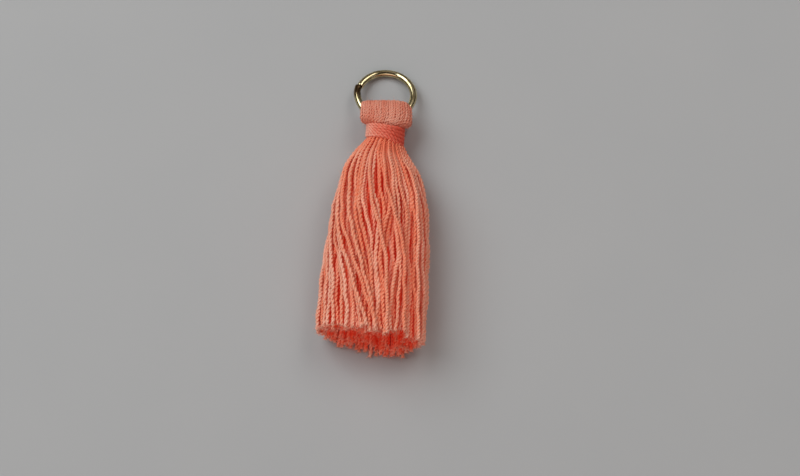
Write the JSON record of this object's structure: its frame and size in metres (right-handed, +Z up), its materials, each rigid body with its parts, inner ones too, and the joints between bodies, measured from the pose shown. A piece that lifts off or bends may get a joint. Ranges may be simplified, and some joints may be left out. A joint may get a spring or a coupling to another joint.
{
  "type": "thread tassel with jump ring",
  "caption": "Short tassel of thick twisted coral thread, folded over a gold jump ring, bound at the neck and lying on its side.",
  "frame": {"origin": "on the surface that the tassel lies on, under the middle of its box", "axes": "+Y along the tassel from its cut ends to its ring, +X to the right as seen from above, +Z up from the surface"},
  "size_m": [0.0136, 0.0374, 0.0082],
  "materials": {
    "ring_gold": "polished gold-tone plating on round wire",
    "binding_thread": "tightly wound coral thread, satin",
    "tassel_thread": "thick twisted coral thread, soft sheen"
  },
  "bodies": {
    "root": {"jump_ring": "ring_gold", "neck_binding": "binding_thread", "thread_tassel": "tassel_thread"}
  },
  "joints": []
}
